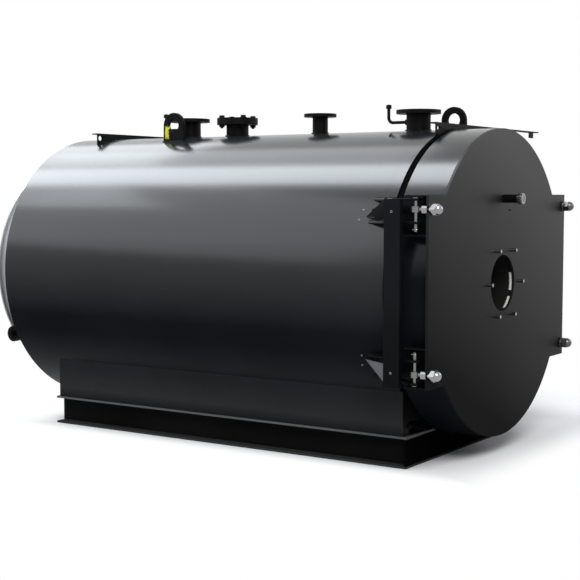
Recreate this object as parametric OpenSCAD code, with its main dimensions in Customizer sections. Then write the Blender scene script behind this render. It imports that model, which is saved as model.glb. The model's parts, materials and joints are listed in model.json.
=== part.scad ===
// Hot-water boiler with a round casing, a hinged burner door and a channel base.
// Millimetres. X to the right, Y to the back, Z up; floor at Z = 0, origin under the middle of the base.

/* [Casing] */
// Outer radius of the round casing and of the door drum
casing_r = 700; // [650:1:760]
// Wall of the casing
casing_t = 6; // [4:1:10]
// Gap between the floor and the casing's underside
casing_floor = 88; // [80:1:140]
// From the door's front face to the casing's front edge
casing_front = 228; // [215:1:260]
// Length of the casing
casing_len = 2238; // [2150:1:2600]

/* [Door] */
// How far the door plate's bolt corners stand out beside the casing
door_out = 35; // [28:1:60]
// Half the height of the straight sides of the door plate
door_half_h = 400; // [395:1:460]
// Thickness of the door plate
door_plate_t = 12; // [8:1:16]
// Depth of the door drum behind the plate's front face
drum_depth = 208; // [180:1:210]
// Wall of the door drum
drum_t = 5; // [3:1:8]
// Radius of the burner opening
burner_r = 128.5; // [90:0.5:160]
// Radius of the refractory throat behind the burner opening
throat_r = 140; // [100:1:150]
// How far the refractory stops short of the drum's back edge
lining_setback = 12; // [4:1:30]
// Bolt circle of the burner studs
stud_pcd = 340; // [310:1:400]
// Number of burner studs
stud_count = 6; // [4:1:8]
// Radius of a burner stud
stud_r = 8; // [5:0.5:10]
// Length of a burner stud in front of the door
stud_len = 30; // [20:1:60]
// Depth of the corner ribs behind the plate's front face
rib_depth = 112; // [60:1:112]
// Thickness of the corner ribs
rib_t = 6; // [4:1:7]
// From a door bolt's axis to the outer face of its inner corner rib
rib_in = 106; // [98:1:130]

/* [Sight glass] */
// Height of the sight glass above the boiler's axis
sight_z = 383; // [300:1:450]
// Radius of the sight tube
sight_r = 19; // [14:0.5:26]
// Length of the sight tube
sight_len = 72; // [50:1:90]
// Radius of the cap on the sight tube
sight_cap_r = 24; // [20:0.5:32]
// Length of the cap
sight_cap_len = 24; // [15:1:30]

/* [Door bolts and hinges] */
// How far the door bolts stand out beside the casing
bolt_out = 9; // [6:1:12]
// How far the door bolts stand in from the ends of the door plate's straight sides
bolt_in = 58; // [57:1:64]
// How far the hinge pins sit behind the door's front face
pin_y = 71; // [66:1:80]
// Radius of the hinge pins
pin_r = 9; // [7:0.5:11]
// Radius of a pin's head
pin_head_r = 15; // [12:0.5:18]
// Thickness of a pin's head
pin_head_t = 4; // [3:0.5:5]
// How far a pin's tail stands out of its inner lug
pin_tail = 31; // [10:1:34]
// Running clearance of an eye on its pin, on the radius
pin_clear = 0.05; // [0.02:0.01:0.1]
// Outer radius of an eye
eye_r = 21; // [18:0.5:24]
// Height of an eye
eye_h = 24; // [20:1:50]
// Radius of a bolt shank
shank_r = 10; // [8:0.5:11]
// Clearance round a shank in its slot and nut
shank_clear = 2; // [1:0.5:4]
// Width of a cap nut across its flats
nut_flats = 46; // [40:1:50]
// Height of the six-sided part of a cap nut
nut_hex_h = 26; // [18:1:32]
// Length of the back nut that holds a hinge bolt to the door
back_nut_len = 24; // [15:1:28]
// How far the nuts of the swing bolts are backed off the door
nut_slack = 10; // [8:0.5:14]
// Thickness of a hinge lug
lug_t = 10; // [8:1:12]
// From a bolt's axis to the middle of its outer lug
lug_out = 40; // [34:1:41]
// From a bolt's axis to the middle of its inner lug
lug_in = 56; // [40:1:60]
// Radius of the lug's end round the pin
lug_end_r = 24; // [20:1:25]
// Length of a lug's weld on the casing
lug_root_len = 110; // [80:1:140]
// Gap between the lugs and the door drum
lug_drum_gap = 8; // [6:1:14]

/* [Base] */
// How much shorter the base frame is than the casing
base_short = 172; // [90:1:240]
// From the door's front face to the base frame's front end
base_front = 202; // [180:1:240]
// How far the rails' outer edges stand in from the casing's side
base_inset = 160; // [140:1:200]
// Height of the base channels
channel_h = 140; // [120:1:160]
// Width of the channel flanges
channel_w = 60; // [50:1:65]
// Web of the channels
channel_web = 7; // [5:0.5:9]
// Flange of the channels
channel_flange = 10; // [7:0.5:11]
// Gap between the cross-members and the casing above them
cross_gap = 8; // [4:1:28]
// Width of the cross-members' flanges
cross_w = 45; // [35:1:55]
// Web of the cross-members
cross_web = 6; // [4:0.5:8]
// Flange of the cross-members
cross_flange = 8; // [6:0.5:9]
// Thickness of the base's front end plate
front_plate_t = 10; // [6:1:14]
// Gap between the front end plate and the door drum
front_plate_gap = 6; // [5:1:12]
// How far the skirt plates stand in from the rail's edge
skirt_inset = 5; // [2:1:20]
// Thickness of the skirt plates
skirt_t = 4; // [3:1:8]
// How far the skirts start and stop inside the base frame's ends
skirt_end = 20; // [10:1:60]
// Thickness of the saddle plates
saddle_t = 12; // [8:1:16]
// Height of the saddle's drain arch above the rails
saddle_arch_h = 60; // [40:1:80]

/* [Heat exchanger] */
// How far the front tube plate sits behind the casing's front edge
plate_recess = 22; // [10:1:40]
// Thickness of the tube plates
tube_plate_t = 20; // [14:1:26]
// From the casing's outer surface in to the furnace
furnace_inset = 370; // [330:1:420]
// Wall of the furnace
furnace_t = 12; // [8:1:16]
// How far the furnace's blind end stops short of the rear tube plate
furnace_end_gap = 220; // [120:1:320]
// From the casing's outer surface in to the ring of smoke tubes
tube_inset = 200; // [150:1:220]
// Number of smoke tubes
tube_count = 24; // [16:1:28]
// Outer radius of a smoke tube
tube_r = 38; // [30:0.5:40]
// Wall of a smoke tube
tube_t = 3; // [2:0.5:5]
// How far the smoke tubes stand out of the front tube plate
tube_out = 4; // [2:1:8]
// Clearance of tubes and furnace in the tube plates
tube_clear = 0.3; // [0.1:0.1:0.5]

/* [Smoke box] */
// From the casing's outer surface in to the smoke box
smoke_inset = 130; // [90:1:150]
// Depth of the smoke box
smoke_depth = 170; // [120:1:220]
// Wall of the smoke box
smoke_t = 5; // [3:1:8]
// Width of the smoke box's bolting flange
smoke_flange_w = 30; // [20:1:50]
// Thickness of the smoke box's bolting flange
smoke_flange_t = 10; // [6:1:16]
// Thickness of the smoke box's cover plate
smoke_cover_t = 8; // [5:1:12]
// How far the cover plate stands over the smoke box's wall
smoke_cover_lip = 14; // [8:1:30]
// Outer radius of the flue spigot
flue_r = 150; // [110:1:200]
// Length of the flue spigot
flue_len = 120; // [80:1:160]
// Radius of the drain pipe on the smoke box
drain_r = 30; // [20:1:36]
// Radius of the drain pipe's cap
drain_cap_r = 41; // [38:1:50]
// Length of the drain pipe's cap
drain_cap_len = 30; // [20:1:50]
// How far the drain pipe's cap ends outside the smoke box
drain_out = 140; // [80:1:200]
// Depth of the drain pipe below the axis
drain_z = 331; // [280:1:380]
// Distance of the drain pipe behind the casing
drain_y = 48; // [42:1:100]

/* [Nozzles] */
// Distance of the front flanged nozzle behind the casing's front edge
flow_in = 210; // [190:1:280]
// Distance of the safety nozzle behind the casing's front edge
safety_in = 756; // [580:1:920]
// Distance of the covered nozzle behind the casing's front edge
cover_in = 1260; // [1080:1:1290]
// Distance of the rear flanged nozzle behind the casing's front edge
return_in = 1570; // [1540:1:1620]
// Height of the open flanges above the casing's top
nozzle_h = 97; // [85:1:130]
// Height of the covered nozzle's flange above the casing's top
cover_nozzle_h = 76; // [70:1:110]
// Outer radius of the three large pipes
pipe_r = 57.15; // [50:0.05:62]
// Wall of the pipes
pipe_t = 3.6; // [2.8:0.1:6]
// How much narrower the casing's openings are than the pipes above them, on the radius
opening_step = 3.5; // [2:0.5:8]
// Radius of the large flanges
flange_r = 105; // [98:0.5:112]
// Thickness of the large flanges
flange_t = 18; // [14:1:22]
// Bolt circle of the large flanges
flange_pcd = 170; // [160:1:180]
// Radius of the bolt holes in the large flanges
flange_hole_r = 9; // [7:0.5:10]
// Outer radius of the safety nozzle's pipe
small_pipe_r = 38.05; // [34:0.05:42]
// Radius of the safety nozzle's flange
small_flange_r = 80; // [75:0.5:85]
// Thickness of the safety nozzle's flange
small_flange_t = 16; // [12:1:20]
// Bolt circle of the safety nozzle's flange
small_flange_pcd = 130; // [122:1:138]
// Radius of the bolt holes in the safety nozzle's flange
small_hole_r = 7; // [5:0.5:9]
// Number of bolt holes in each flange
flange_holes = 4; // [4:4:8]
// Thickness of the blind cover
cover_t = 16; // [12:1:22]
// Turn of the bolts in the blind cover from the other flanges' bolts
cover_turn = 11; // [0:1:45]
// Radius of the gauge pipes
gauge_r = 7.5; // [5:0.5:10]
// Bend radius of the gauge pipes
gauge_bend = 24; // [18:1:34]
// From a nozzle's middle to its gauge pipe's upright
gauge_reach = 160; // [130:1:190]
// Height of a gauge pipe's level run above the casing's top
gauge_low = 42; // [30:1:60]
// Height of a gauge pipe's top above the casing's top
gauge_high = 128; // [100:1:170]

/* [Lifting lugs] */
// Sideways distance of the lifting lugs from the middle
lift_x = 190; // [150:1:230]
// Distance of the front lifting lug behind the casing's front edge
lift_front_in = 118; // [110:1:150]
// Distance of the rear lifting lug behind the casing's front edge
lift_rear_in = 1523; // [1420:1:1570]
// Thickness of the lifting lugs
lift_t = 20; // [14:1:25]
// Outer radius at the top of a lifting lug
lift_r = 64; // [55:1:70]
// Radius of the shackle hole
lift_hole_r = 33; // [25:0.5:36]
// Height of the shackle hole above the casing under the lug
lift_hole_h = 84; // [70:1:100]
// Half the width of a lifting lug at its weld
lift_half_w = 76; // [66:1:90]

/* [Top bars] */
// Distance of the front bar behind the casing's front edge
bar_front_in = 4; // [2:1:24]
// Distance of the rear bar in front of the casing's rear edge
bar_rear_in = 216; // [120:1:400]
// How far a bar reaches to the left of the middle
bar_left = 222; // [180:1:300]
// How far a bar reaches out past the casing on the right
bar_over = 250; // [60:1:300]
// How far inside the casing's right side a bar's upright web stops
bar_web_inset = 140; // [100:1:300]
// Height of the bars above the casing's top
bar_h = 26; // [15:1:60]
// Thickness of a bar's web and top
bar_t = 6; // [4:1:10]
// Depth of a bar's top, front to back
bar_depth = 40; // [30:1:60]
// Radius of the fixing hole near the front bar's left end
bar_hole_r = 9; // [6:0.5:13]
// Radius of the fixing hole near the rear bar's left end
bar_rear_hole_r = 13; // [6:0.5:14]
// Distance of the fixing hole from the bar's end
bar_hole_in = 22; // [16:1:40]
// Distance of the fixing hole below the bar's top
bar_hole_down = 26; // [18:1:40]
// Width of the tab under the bar's right end
bar_tab_w = 50; // [30:1:70]
// Height of the tab under the bar's right end
bar_tab_h = 35; // [20:1:60]
// Distance of the tab from the bar's right end
bar_tab_in = 70; // [40:1:120]

/* [Control panel post] */
// How far the post's outer face stands out beside the casing
post_out = 45; // [42:1:60]
// Depth of the post, from its outer face inwards
post_d = 25; // [15:1:25]
// Wall of the post and its arms
post_t = 3; // [2:0.5:4]
// From the door's front face to the post's front edge
post_y = 128; // [126:1:150]
// Width of the post
post_w = 76; // [60:1:90]
// How far the post stops short of the top of the door plate's straight sides
post_in = 16; // [14:1:50]
// How far the post reaches past the bottom of the door plate's straight sides
post_over = 2; // [0:1:30]
// Height of an arm at the post
arm_h = 80; // [60:1:80]
// Height of an arm at the casing
arm_root_h = 30; // [15:1:80]
// Gap between an arm and the hinge lug beside it
arm_gap = 3; // [2:0.5:6]
// How far back on the casing the arms are fixed
arm_root_y = 392; // [330:1:450]

/* [Hidden] */
$fn = 96;
cut = 1;
base_len = casing_len - base_short;
front_y = -base_front - base_len / 2;
axis_h = casing_r + casing_floor;
door_half_w = casing_r + door_out;
bolt_x = casing_r + bolt_out;
bolt_z = door_half_h - bolt_in;
rib_inner_z = bolt_z - rib_in - rib_t;
post_x = casing_r + post_out;
post_top = door_half_h - post_in;
post_bottom = door_half_h + post_over;
base_half_w = casing_r - base_inset;
cross_h = casing_floor - cross_gap;
furnace_r = casing_r - furnace_inset;
tube_ring_r = casing_r - tube_inset;
smoke_r = casing_r - smoke_inset;
flow_y = casing_front + flow_in;
safety_y = casing_front + safety_in;
cover_y = casing_front + cover_in;
return_y = casing_front + return_in;
lift_front_y = casing_front + lift_front_in;
lift_rear_y = casing_front + lift_rear_in;
casing_rear = casing_front + casing_len;
tube_plate_y = casing_front + plate_recess;
rear_plate_y = casing_rear - tube_plate_t;
casing_inner_r = casing_r - casing_t;
drum_inner_r = casing_r - drum_t;
lining_y = drum_depth - lining_setback;
lining_gap = 0.3;
slot_r = shank_r + shank_clear;
nut_bore_r = shank_r + shank_clear / 4;
nut_r = nut_flats / 2 / cos(30);
shank_front = nut_hex_h - shank_clear;
lug_inner_face = bolt_z - lug_in + lug_t / 2;
lug_outer_face = bolt_z + lug_out - lug_t / 2;
rail_x = base_half_w - channel_w;
rail_top = channel_h - axis_h;
skirt_x = base_half_w - skirt_inset - skirt_t;
furnace_len = rear_plate_y - furnace_end_gap - tube_plate_y;
drain_in_x = sqrt(smoke_r * smoke_r - drain_z * drain_z);
drain_cap_x = drain_in_x + drain_out - drain_cap_len;
smoke_cover_y = casing_rear + smoke_depth - smoke_cover_t;
bore_floor = casing_r + cut;
lift_foot_z = sqrt(casing_r * casing_r - pow(lift_x + lift_t / 2, 2));
bar_front_y = casing_front + bar_front_in;
bar_rear_y = casing_rear - bar_rear_in;
bar_right = casing_r + bar_over;
bar_web_right = casing_r - bar_web_inset;
bar_top_z = casing_r + bar_h;

paint = [0.13, 0.13, 0.14];
door_grey = [0.23, 0.23, 0.24];
black = [0.06, 0.06, 0.065];
bright = [0.8, 0.8, 0.82];
clay = [0.72, 0.66, 0.55];

// Puts what follows on the boiler's axis, with Y counted from the door's front face
module on_axis() translate([0, front_y, axis_h]) children();

// A cylinder along Y, starting at y
module along_y(r, y, len) translate([0, y, 0]) rotate([-90, 0, 0]) cylinder(r = r, h = len);

// A flat plate with its outline drawn in X and Z, from y backwards
module plate_xz(y, t) translate([0, y + t, 0]) rotate([90, 0, 0]) linear_extrude(t) children();

// The solid inside the casing's outer surface, to cut what stands on it
module casing_envelope() along_y(casing_r, 0, casing_rear + smoke_depth);

module mirrored(side) mirror([side < 0 ? 1 : 0, 0, 0]) children();

// A channel's outline, with its web at the left and open to the right
module channel_outline(w, h, web, flange) {
    difference() {
        square([w, h]);
        translate([web, flange]) square([w, h - 2 * flange]);
    }
}

module base_rail(side) {
    color(black) mirrored(side) translate([rail_x, base_len / 2, 0]) rotate([90, 0, 0])
        linear_extrude(base_len - front_plate_t)
            channel_outline(channel_w, channel_h, channel_web, channel_flange);
}

// An end plate over both rails, cut out round the door drum
module base_front_plate() {
    color(black) on_axis() plate_xz(base_front, front_plate_t) difference() {
        translate([-base_half_w, -axis_h]) square([2 * base_half_w, channel_h]);
        circle(r = casing_r + front_plate_gap);
    }
}

// y is the web's outer face; way is 1 for open to the back
module base_cross(y, way) {
    color(black) translate([-rail_x, y, 0]) mirror([0, way < 0 ? 1 : 0, 0]) rotate([90, 0, 90])
        linear_extrude(2 * rail_x) channel_outline(cross_w, cross_h, cross_web, cross_flange);
}

module skirt(side) {
    skirt_len = base_len - 2 * skirt_end;
    color(paint) difference() {
        on_axis() mirrored(side) translate([skirt_x, base_front + skirt_end, rail_top])
            cube([skirt_t, skirt_len, -rail_top]);
        on_axis() casing_envelope();
    }
}

module saddle(y) {
    color(black) on_axis() plate_xz(y, saddle_t) difference() {
        translate([-skirt_x, rail_top]) square([2 * skirt_x, -rail_top]);
        circle(r = casing_r);
        translate([-rail_x, rail_top - cut]) square([2 * rail_x, saddle_arch_h + cut]);
    }
}

module casing() {
    color(paint) on_axis() difference() {
        along_y(casing_r, casing_front, casing_len);
        along_y(casing_inner_r, casing_front - cut, casing_len + 2 * cut);
        for (y = [flow_y, cover_y, return_y]) casing_opening(y, pipe_r);
        casing_opening(safety_y, small_pipe_r);
    }
}

// The hole in the casing's top under a pipe of radius r
module casing_opening(y, r)
    translate([0, y, 0]) cylinder(r = r - pipe_t - opening_step, h = casing_r + cut);

// The places of the smoke tubes round the axis
module each_tube() {
    for (i = [0 : tube_count - 1]) {
        turn = (i + 0.5) * 360 / tube_count;
        translate([tube_ring_r * cos(turn), tube_ring_r * sin(turn)]) children();
    }
}

module tube_plate(y, mouth) {
    color(black) on_axis() plate_xz(y, tube_plate_t) difference() {
        circle(r = casing_inner_r);
        each_tube() circle(r = tube_r + tube_clear);
        if (mouth) circle(r = furnace_r + tube_clear);
    }
}

module furnace() {
    color(black) on_axis() difference() {
        along_y(furnace_r, tube_plate_y, furnace_len);
        along_y(furnace_r - furnace_t, tube_plate_y - cut, furnace_len - furnace_t + cut);
    }
}

module smoke_tubes() {
    y = tube_plate_y - tube_out;
    color(black) on_axis() plate_xz(y, casing_rear - y) each_tube() difference() {
        circle(r = tube_r);
        circle(r = tube_r - tube_t);
    }
}

// The smoke box's wall, with the flange that bolts it to the rear tube plate
module smoke_box() {
    color(black) on_axis() difference() {
        union() {
            along_y(smoke_r, casing_rear, smoke_cover_y - casing_rear);
            along_y(smoke_r + smoke_flange_w, casing_rear, smoke_flange_t);
        }
        along_y(smoke_r - smoke_t, casing_rear - cut, smoke_depth + 2 * cut);
    }
}

module smoke_box_cover() {
    color(black) on_axis() difference() {
        along_y(smoke_r + smoke_cover_lip, smoke_cover_y, smoke_cover_t);
        along_y(flue_r, smoke_cover_y - cut, smoke_cover_t + 2 * cut);
    }
}

module flue_spigot() {
    color(black) on_axis() difference() {
        along_y(flue_r, smoke_cover_y, flue_len);
        along_y(flue_r - smoke_t, smoke_cover_y - cut, flue_len + 2 * cut);
    }
}

module drain_pipe() {
    color(black) on_axis() difference() {
        translate([0, casing_rear + drain_y, -drain_z]) rotate([0, -90, 0]) {
            cylinder(r = drain_r, h = drain_cap_x);
            translate([0, 0, drain_cap_x]) cylinder(r = drain_cap_r, h = drain_cap_len);
        }
        along_y(smoke_r, casing_rear - cut, smoke_depth + 2 * cut);
    }
}

// A pipe on the casing's top with a drilled flange at height h; its foot is a little wider inside
module nozzle(y, h, r, f_r, f_t, pcd, hole_r, turn = 0) {
    top = casing_r + h;
    color(black) on_axis() difference() {
        translate([0, y, 0]) {
            cylinder(r = r, h = top);
            translate([0, 0, top - f_t]) cylinder(r = f_r, h = f_t);
        }
        translate([0, y, bore_floor]) cylinder(r = r - pipe_t, h = h + cut);
        translate([0, y, 0]) cylinder(r = r - pipe_t / 2, h = bore_floor);
        translate([0, y, 0]) rotate(turn) flange_drill(top, pcd, hole_r, f_t);
        casing_envelope();
    }
}

module flange_drill(top, pcd, hole_r, t) {
    for (i = [0 : flange_holes - 1])
        rotate((i + 0.5) * 360 / flange_holes) translate([pcd / 2, 0, top - t - cut])
            cylinder(r = hole_r, h = t + 2 * cut);
}

module large_nozzle(y, h, turn = 0)
    nozzle(y, h, pipe_r, flange_r, flange_t, flange_pcd, flange_hole_r, turn);

module blind_cover() {
    top = casing_r + cover_nozzle_h + cover_t;
    color(black) on_axis() translate([0, cover_y, 0]) difference() {
        translate([0, 0, top - cover_t]) cylinder(r = flange_r, h = cover_t);
        rotate(cover_turn) flange_drill(top, flange_pcd, flange_hole_r, cover_t);
    }
}

// A small pipe that leaves a nozzle's side towards the back and turns up
module gauge_pipe(y) {
    run = gauge_reach - gauge_bend;
    color(black) on_axis() translate([0, y, casing_r + gauge_low]) {
        difference() {
            along_y(gauge_r, 0, run);
            translate([0, 0, -2 * gauge_r]) cylinder(r = pipe_r, h = 4 * gauge_r);
        }
        translate([0, run, gauge_bend]) rotate([0, 90, 0]) rotate_extrude(angle = 90)
            translate([gauge_bend, 0]) circle(r = gauge_r);
        translate([0, gauge_reach, gauge_bend])
            cylinder(r = gauge_r, h = gauge_high - gauge_low - gauge_bend);
    }
}

// A plate along Y with a round top, welded to the casing at x
module lifting_lug(x, y) {
    hole_z = lift_foot_z + lift_hole_h;
    color(black) on_axis() difference() {
        translate([x - lift_t / 2, y, 0]) rotate([90, 0, 90]) linear_extrude(lift_t) difference() {
            union() {
                translate([0, hole_z]) circle(r = lift_r);
                polygon([[-lift_half_w, 0], [lift_half_w, 0], [lift_r, hole_z], [-lift_r, hole_z]]);
            }
            translate([0, hole_z]) circle(r = lift_hole_r);
        }
        casing_envelope();
    }
}

// An angle across the casing's top, its web cut to the casing and its top running out to the right
module top_bar(y, hole_r) {
    color(black) on_axis() difference() {
        union() {
            plate_xz(y, bar_t) translate([-bar_left, 0]) square([bar_left + bar_web_right, bar_top_z]);
            translate([-bar_left, y, bar_top_z - bar_t]) cube([bar_left + bar_right, bar_depth, bar_t]);
            plate_xz(y, bar_t) translate([bar_right - bar_tab_in - bar_tab_w, bar_top_z - bar_tab_h])
                square([bar_tab_w, bar_tab_h]);
        }
        casing_envelope();
        translate([bar_hole_in - bar_left, 0, bar_top_z - bar_hole_down])
            along_y(hole_r, y - cut, bar_t + 2 * cut);
        translate([-bar_left - cut, y - cut, 0])
            cube([bar_left + bar_right + 2 * cut, bar_t + 2 * cut, bar_top_z - bar_tab_h - bar_h]);
    }
}

// A folded sheet post, open towards the boiler
module panel_post() {
    color(paint) on_axis() translate([-post_x, post_y, -post_bottom]) linear_extrude(post_top + post_bottom)
        difference() {
            square([post_d, post_w]);
            translate([post_t, post_t]) square([post_d, post_w - 2 * post_t]);
        }
}

// Half the casing's width at a height from the axis
function casing_half_w(z) = sqrt(casing_r * casing_r - z * z);

// A sheet arm from the post to the casing, beside a pair of hinge lugs and narrower at the casing
module panel_arm(end) {
    low = lug_inner_face + arm_gap;
    start = [-post_x + post_d, post_y + post_w - post_t];
    finish = [-casing_half_w(low + arm_h) + post_d, arm_root_y];
    color(paint) on_axis() mirror([0, 0, end < 0 ? 1 : 0]) difference() {
        intersection() {
            translate([0, 0, low]) linear_extrude(arm_h) polygon([
                start, start + [0, post_t], finish + [0, post_t], finish
            ]);
            translate([-post_x, 0, 0]) rotate([90, 0, 90]) linear_extrude(post_x) polygon([
                [start[1], low], [arm_root_y + post_t, low],
                [arm_root_y + post_t, low + arm_root_h], [start[1], low + arm_h]
            ]);
        }
        casing_envelope();
    }
}

// One lug plate, seen from above on the right; z is the height of its lower face
module hinge_lug(z) {
    near_z = min(abs(z), abs(z + lug_t));
    inner_x = casing_half_w(near_z) + lug_drum_gap;
    translate([0, 0, z]) difference() {
        linear_extrude(lug_t) difference() {
            union() {
                translate([bolt_x, pin_y]) circle(r = lug_end_r);
                polygon([
                    [bolt_x - lug_end_r, pin_y],
                    [bolt_x + lug_end_r, pin_y],
                    [inner_x + lug_end_r, casing_front + lug_root_len / 2],
                    [inner_x - lug_drum_gap, casing_front + lug_root_len],
                    [0, casing_front + lug_root_len],
                    [0, casing_front],
                    [min(inner_x, bolt_x - lug_end_r), casing_front]
                ]);
            }
            translate([bolt_x, pin_y]) circle(r = pin_r);
        }
        translate([0, 0, -z]) casing_envelope();
    }
}

module hinge_lugs(side) {
    color(black) on_axis() mirrored(side)
        for (end = [-1, 1], z = [bolt_z + lug_out, bolt_z - lug_in]) hinge_lug(end * z - lug_t / 2);
}

// A pin through each pair of lugs, with its head on the outer lug and its tail towards the axis
module hinge_pins(side) {
    bottom = lug_inner_face - lug_t - pin_tail;
    top = lug_outer_face + lug_t;
    color(bright) on_axis() mirrored(side) translate([bolt_x, pin_y, 0])
        for (end = [0, 1]) mirror([0, 0, end]) {
            translate([0, 0, bottom]) cylinder(r = pin_r, h = top - bottom);
            translate([0, 0, top]) cylinder(r = pin_head_r, h = pin_head_t);
        }
}

module door_plate() {
    color(door_grey) on_axis() plate_xz(0, door_plate_t) difference() {
        union() {
            circle(r = casing_r);
            square([2 * door_half_w, 2 * door_half_h], center = true);
        }
        circle(r = burner_r);
        for (side = [-1, 1], end = [-1, 1]) translate([side * bolt_x, end * bolt_z]) mirrored(side) {
            circle(r = slot_r);
            translate([0, -slot_r]) square([door_half_w, 2 * slot_r]);
        }
    }
}

module door_drum() {
    color(paint) on_axis() difference() {
        along_y(casing_r, door_plate_t, drum_depth - door_plate_t);
        along_y(drum_inner_r, 0, drum_depth + cut);
    }
}

module door_lining() {
    color(clay) on_axis() difference() {
        along_y(drum_inner_r - lining_gap, door_plate_t, lining_y - door_plate_t);
        along_y(throat_r, 0, lining_y + cut);
    }
}

// Two ribs at each corner between the door plate and the drum, over and under the bolt
module door_ribs() {
    color(door_grey) on_axis() difference() {
        for (side = [-1, 1], end = [0, 1], z = [rib_inner_z, door_half_h - rib_t])
            mirrored(side) mirror([0, 0, end]) translate([0, door_plate_t, z])
                cube([door_half_w, rib_depth - door_plate_t, rib_t]);
        casing_envelope();
    }
}

module burner_studs() {
    color(bright) on_axis() for (i = [0 : stud_count - 1]) rotate([0, i * 360 / stud_count, 0])
        translate([stud_pcd / 2, 0, 0]) along_y(stud_r, -stud_len, stud_len);
}

module sight_tube() {
    color(black) on_axis() translate([0, 0, sight_z]) along_y(sight_r, -sight_len, sight_len);
}

module sight_cap() {
    y = -sight_len - sight_cap_len;
    bezel = sight_cap_r - sight_r;
    color(bright) on_axis() translate([0, 0, sight_z]) difference() {
        along_y(sight_cap_r, y, sight_cap_len);
        along_y(sight_r - bezel, y - cut, bezel + cut);
    }
}

// An eye on a pin with a shank towards the front, standing at the origin of its pin
module eye_bolt(reach) {
    difference() {
        union() {
            translate([0, 0, -eye_h / 2]) cylinder(r = eye_r, h = eye_h);
            along_y(shank_r, -pin_y - reach, pin_y + reach);
        }
        translate([0, 0, -eye_h / 2 - cut]) cylinder(r = pin_r + pin_clear, h = eye_h + 2 * cut);
    }
}

// A cap nut whose seat is at y and whose dome points to the front
module cap_nut(y) {
    difference() {
        union() {
            translate([0, y - nut_hex_h, 0]) rotate([-90, 0, 0]) cylinder(r = nut_r, h = nut_hex_h, $fn = 6);
            translate([0, y - nut_hex_h, 0]) intersection() {
                sphere(r = nut_flats / 2);
                translate([0, -nut_flats / 2, 0])
                    cube([2 * nut_flats, nut_flats, 2 * nut_flats], center = true);
            }
        }
        along_y(nut_bore_r, y - nut_hex_h, nut_hex_h + cut);
    }
}

module at_bolt(side, end) on_axis() translate([side * bolt_x, pin_y, end * bolt_z]) children();

module hinge_bolts() {
    color(bright) for (end = [-1, 1]) at_bolt(-1, end) eye_bolt(shank_front);
}

// A cap nut in front of the door plate and a round nut behind it, on each hinge bolt
module hinge_nuts() {
    color(bright) for (end = [-1, 1]) at_bolt(-1, end) {
        cap_nut(-pin_y);
        difference() {
            along_y(nut_flats / 2, door_plate_t - pin_y, back_nut_len);
            along_y(nut_bore_r, door_plate_t - pin_y - cut, back_nut_len + 2 * cut);
        }
    }
}

module swing_bolt(end) color(bright) at_bolt(1, end) eye_bolt(shank_front + nut_slack);

module swing_nut(end) color(bright) at_bolt(1, end) cap_nut(-pin_y - nut_slack);

base_rail(-1);  // base_rail_left
base_rail(1);  // base_rail_right
base_front_plate();  // base_cross_front
base_cross(-cross_w / 2, 1);  // base_cross_middle
base_cross(base_len / 2, -1);  // base_cross_rear
skirt(-1);  // skirt_left
skirt(1);  // skirt_right
saddle(base_front + skirt_end);  // saddle_front
saddle(base_front + base_len - skirt_end - saddle_t);  // saddle_rear
casing();
tube_plate(tube_plate_y, true);  // front_tube_plate
tube_plate(rear_plate_y, false);  // rear_tube_plate
furnace();
smoke_tubes();
smoke_box();
smoke_box_cover();
flue_spigot();
drain_pipe();
large_nozzle(flow_y, nozzle_h);  // flow_nozzle
nozzle(safety_y, nozzle_h, small_pipe_r, small_flange_r, small_flange_t, small_flange_pcd, small_hole_r);  // safety_nozzle
large_nozzle(cover_y, cover_nozzle_h, cover_turn);  // cover_nozzle
blind_cover();
large_nozzle(return_y, nozzle_h);  // return_nozzle
gauge_pipe(flow_y);  // gauge_pipe_front
gauge_pipe(return_y);  // gauge_pipe_rear
lifting_lug(lift_x, lift_front_y);  // lifting_lug_front
lifting_lug(-lift_x, lift_rear_y);  // lifting_lug_rear
top_bar(bar_front_y, bar_hole_r);  // top_bar_front
top_bar(bar_rear_y, bar_rear_hole_r);  // top_bar_rear
panel_post();
panel_arm(1);  // panel_arm_upper
panel_arm(-1);  // panel_arm_lower
hinge_lugs(-1);  // hinge_lugs_left
hinge_lugs(1);  // hinge_lugs_right
hinge_pins(-1);  // hinge_pins_left
hinge_pins(1);  // hinge_pins_right
door_plate();
door_drum();
door_lining();
door_ribs();
burner_studs();
sight_tube();
sight_cap();
hinge_bolts();
hinge_nuts();
swing_bolt(1);  // swing_bolt_upper
swing_nut(1);  // swing_nut_upper
swing_bolt(-1);  // swing_bolt_lower
swing_nut(-1);  // swing_nut_lower
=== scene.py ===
# %% [markdown]
# # An industrial boiler, dressed for its picture
#
# The boiler's solids come from a CAD model: a long round casing, a heavy burner door on eyebolts,
# flanged pipe ends on top and a base of steel channels. Here they get their finishes, and the small
# things that a fitter adds to the bare solids: bolts, washers, weld beads, seals and screws. The CAD
# pieces stay exactly where they are, and every new piece rides on one of their moving bodies.

# %% Load the frame
import json
import math
import bpy
from mathutils import Matrix, Vector


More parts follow.
